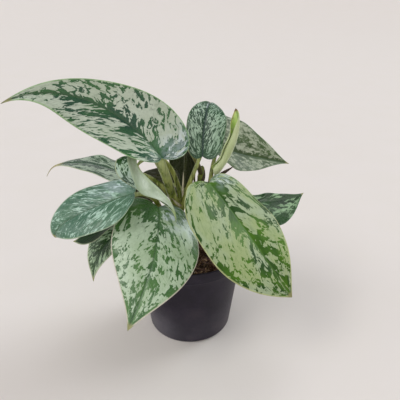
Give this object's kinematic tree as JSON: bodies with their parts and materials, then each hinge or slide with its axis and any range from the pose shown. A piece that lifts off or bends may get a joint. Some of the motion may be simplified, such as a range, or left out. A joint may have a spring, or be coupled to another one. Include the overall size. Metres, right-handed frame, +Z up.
{
  "type": "potted plant",
  "caption": "Satin pothos with silver-marked heart-shaped leaves on short stems, planted in a plain black nursery pot that stands on its flat base.",
  "frame": {"origin": "centre of the pot's flat base, on the surface that it stands on", "axes": "+Z up along the pot's axis, -Y towards the side with the two largest low leaves, +X to the right seen from there"},
  "size_m": [0.2231, 0.1706, 0.2338],
  "materials": {
    "pot_plastic": "thin black moulded plastic, satin",
    "potting_soil": "coarse dark peat and bark",
    "stem_green": "smooth olive plant stem",
    "leaf_silver": "satin green leaf with silver marks",
    "leaf_young": "smooth light green young leaf"
  },
  "bodies": {
    "root": {"pot": "pot_plastic", "soil": "potting_soil", "stem_left": "stem_green", "stem_centre": "stem_green", "stem_right": "stem_green", "stem_rear": "stem_green", "leaf_upper_left": "leaf_silver", "leaf_top_centre": "leaf_silver", "leaf_rolled_new": "leaf_young", "leaf_back_right": "leaf_silver", "leaf_front_right": "leaf_silver", "leaf_low_right": "leaf_silver", "leaf_front_centre": "leaf_silver", "leaf_left": "leaf_silver", "leaf_far_left": "leaf_silver", "leaf_folded_young": "leaf_silver", "leaf_under_left": "leaf_silver", "leaf_hanging_left": "leaf_silver", "leaf_rear_upper": "leaf_silver", "leaf_rear_low": "leaf_silver", "leaf_rear_left": "leaf_silver"}
  },
  "joints": []
}
